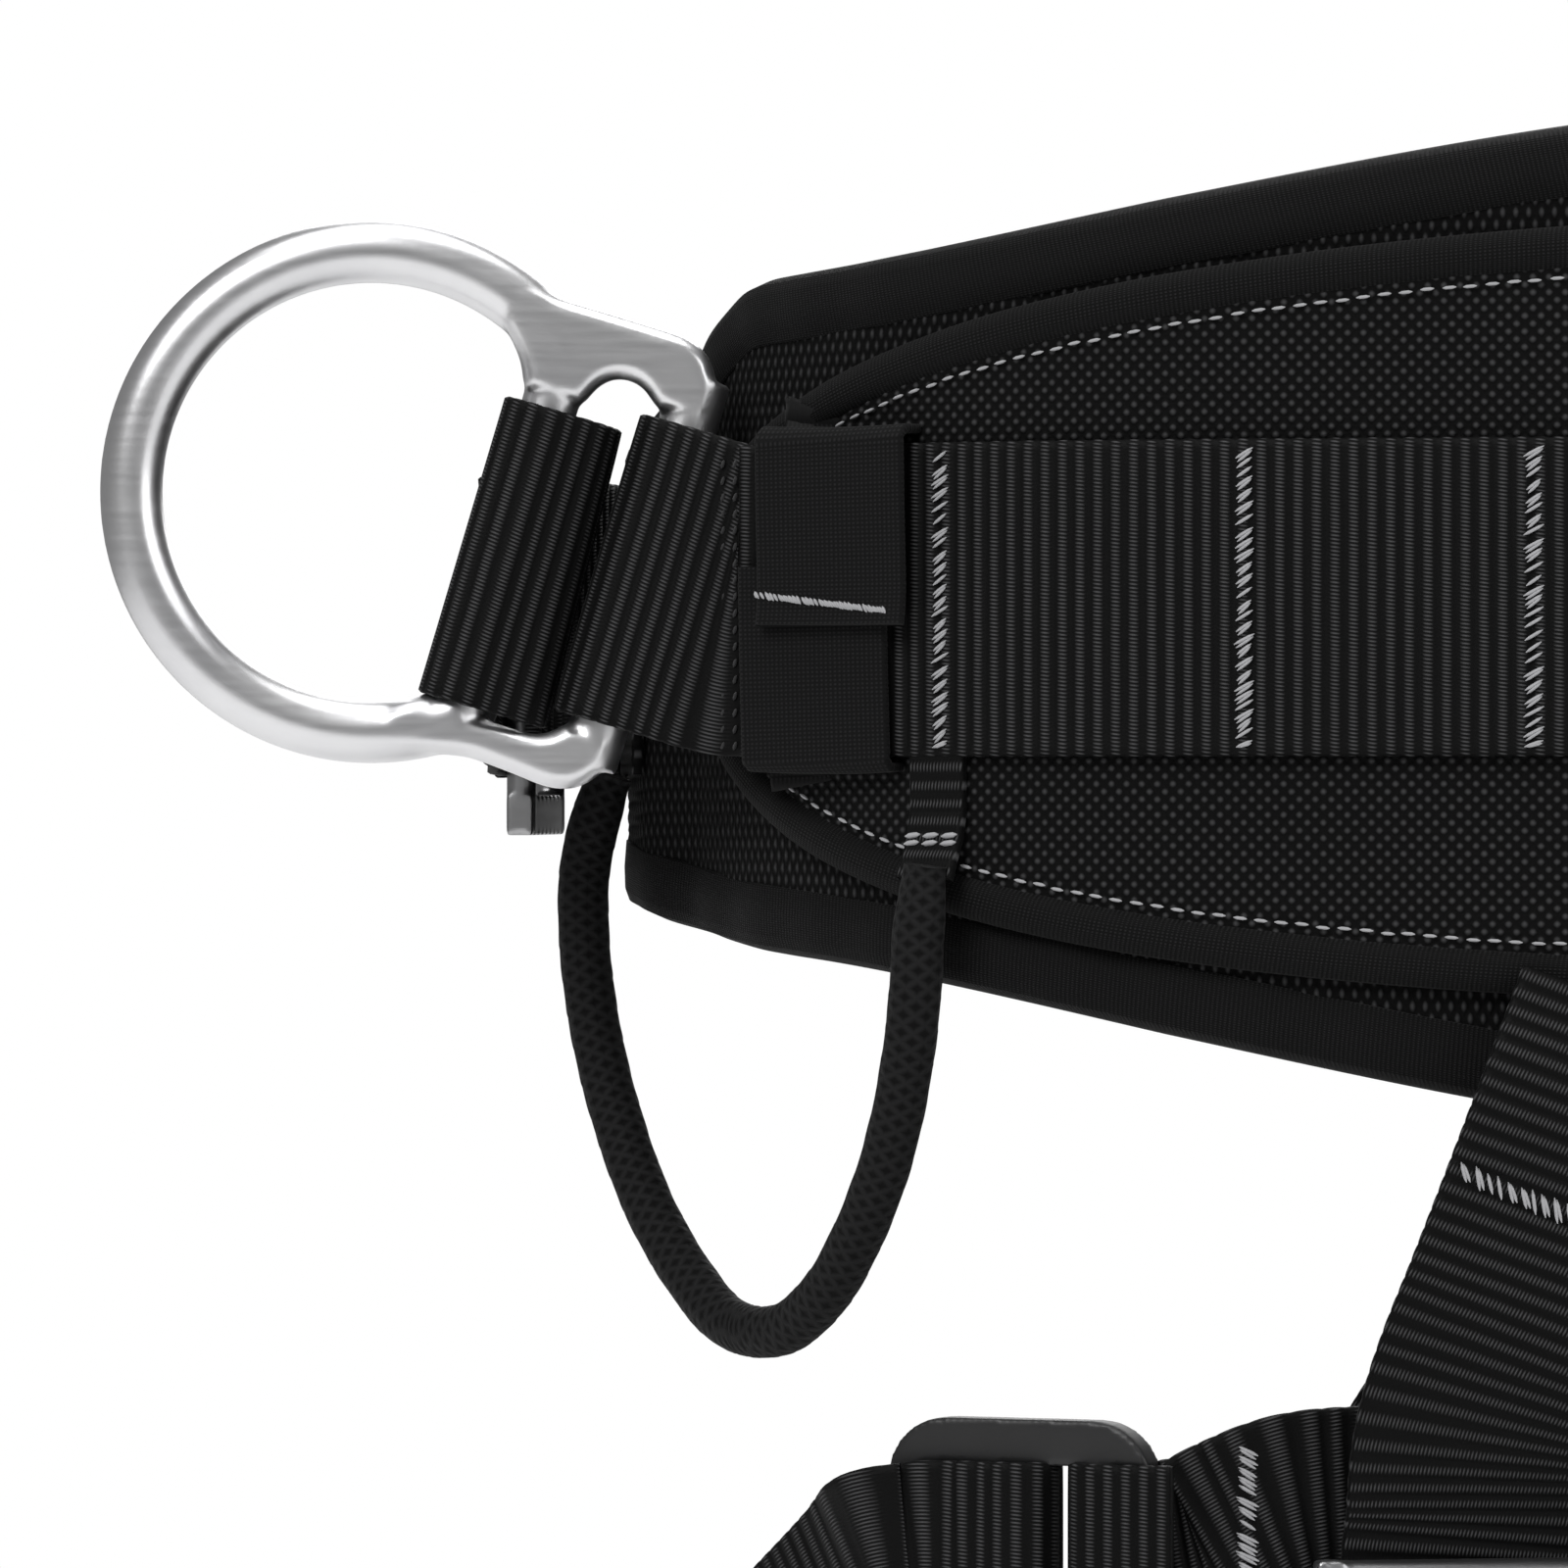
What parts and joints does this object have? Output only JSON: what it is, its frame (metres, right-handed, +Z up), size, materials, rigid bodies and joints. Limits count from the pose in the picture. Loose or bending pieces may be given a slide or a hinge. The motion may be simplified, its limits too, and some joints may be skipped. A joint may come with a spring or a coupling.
{
  "type": "tree climbing saddle",
  "caption": "Padded work belt with a raised lumbar panel, side rings, gear loops, front buckle, ventral ring and adjustable padded leg loops.",
  "frame": {"origin": "centre of the waist opening, at the middle height of the belt webbing", "axes": "+Z up when worn, the wearer faces -Y, and the wearer's left is +X; X runs across the hips"},
  "size_m": [0.5336, 0.2564, 0.2861],
  "materials": {
    "mesh_padding": "open mesh knit, matt",
    "knit_panel": "raised diamond knit, matt",
    "binding_tape": "fine twill tape",
    "webbing": "ribbed woven polyester",
    "elastic": "fine knitted elastic",
    "gear_cord": "tight braid over a stiff core",
    "forged_ring": "satin, forged",
    "pressed_metal": "satin",
    "black_plastic": "fine moulded grain",
    "dark_bar": "satin black"
  },
  "bodies": {
    "belt": {"waist_pad": "mesh_padding", "waist_pad_binding": "binding_tape", "lumbar_panel": "knit_panel", "lumbar_panel_binding": "binding_tape", "waist_webbing": "webbing", "left_keeper": "elastic", "right_keeper": "elastic", "left_gear_loop_tabs": "webbing", "right_gear_loop_tabs": "webbing", "left_strap_lead": "webbing", "right_strap_lead": "webbing", "left_strap_adjuster": "pressed_metal", "right_strap_adjuster": "pressed_metal", "left_front_strap": "webbing", "left_front_keeper": "elastic", "front_buckle_frame": "pressed_metal", "ventral_loop": "webbing", "left_riser_anchor": "webbing", "right_riser_anchor": "webbing", "left_link_loop": "webbing", "right_link_loop": "webbing"},
    "left_d_ring": {"left_d_ring": "forged_ring", "left_d_ring_loop": "webbing"},
    "right_d_ring": {"right_d_ring": "forged_ring", "right_d_ring_loop": "webbing"},
    "left_gear_loop": {"left_gear_loop": "gear_cord"},
    "right_gear_loop": {"right_gear_loop": "gear_cord"},
    "right_strap": {"right_front_strap": "webbing", "right_front_keeper": "elastic"},
    "buckle_hook": {"front_buckle_hook": "pressed_metal"},
    "ventral_ring": {"ventral_ring": "forged_ring"},
    "left_leg": {"left_riser": "webbing", "left_riser_adjuster": "pressed_metal", "left_riser_link": "webbing", "left_leg_pad": "mesh_padding", "left_leg_pad_binding": "binding_tape", "left_leg_webbing": "webbing", "left_leg_strap": "webbing", "left_leg_buckle": "black_plastic", "left_leg_keeper": "elastic", "left_front_link": "webbing"},
    "left_buckle_bar": {"left_leg_buckle_bar": "dark_bar"},
    "right_leg": {"right_riser": "webbing", "right_riser_adjuster": "pressed_metal", "right_riser_link": "webbing", "right_leg_pad": "mesh_padding", "right_leg_pad_binding": "binding_tape", "right_leg_webbing": "webbing", "right_leg_strap": "webbing", "right_leg_buckle": "black_plastic", "right_leg_keeper": "elastic", "right_front_link": "webbing"},
    "right_buckle_bar": {"right_leg_buckle_bar": "dark_bar"}
  },
  "joints": [
    {"name": "left_d_ring_swing", "type": "hinge", "parent": "belt", "child": "left_d_ring", "pos_m": [0.18744, 0.06222, 0.0044], "axis": [-0.284, 0, 0.9588], "range_deg": [-25, 45]},
    {"name": "left_gear_loop_swing", "type": "hinge", "parent": "belt", "child": "left_gear_loop", "pos_m": [0.147, 0.0952, -0.038], "axis": [0.5592, -0.8222, 0.1062], "range_deg": [0, 30]},
    {"name": "left_leg_loop_swing", "type": "hinge", "parent": "belt", "child": "left_leg", "pos_m": [0.049, 0.1195, -0.078], "axis": [-0.0773, -0.993, 0.0895], "range_deg": [0, 10]},
    {"name": "left_buckle_bar_slide", "type": "slide", "parent": "left_leg", "child": "left_buckle_bar", "axis": [0.9051, -0.4253, 0], "range_m": [0, 0.0035]},
    {"name": "right_d_ring_swing", "type": "hinge", "parent": "belt", "child": "right_d_ring", "pos_m": [-0.18744, 0.06222, 0.0044], "axis": [-0.284, 0, -0.9588], "range_deg": [-25, 45]},
    {"name": "right_gear_loop_swing", "type": "hinge", "parent": "belt", "child": "right_gear_loop", "pos_m": [-0.147, 0.0952, -0.038], "axis": [0.5592, 0.8222, -0.1062], "range_deg": [0, 30]},
    {"name": "right_leg_loop_swing", "type": "hinge", "parent": "belt", "child": "right_leg", "pos_m": [-0.049, 0.1195, -0.078], "axis": [-0.0773, 0.993, -0.0895], "range_deg": [0, 10]},
    {"name": "right_buckle_bar_slide", "type": "slide", "parent": "right_leg", "child": "right_buckle_bar", "axis": [-0.9051, -0.4253, 0], "range_m": [0, 0.0035]},
    {"name": "belt_strap_swing", "type": "hinge", "parent": "belt", "child": "right_strap", "pos_m": [-0.20235, 0.00733, 0], "axis": [0, 0, -1], "range_deg": [0, 60]},
    {"name": "buckle_hook_flip", "type": "hinge", "parent": "right_strap", "child": "buckle_hook", "pos_m": [-0.046, -0.129, 0], "axis": [0, 0, -1], "range_deg": [0, 100]},
    {"name": "ventral_ring_swing", "type": "hinge", "parent": "belt", "child": "ventral_ring", "pos_m": [0, -0.1245, -0.0751], "axis": [-1, 0, 0], "range_deg": [0, 75]}
  ]
}
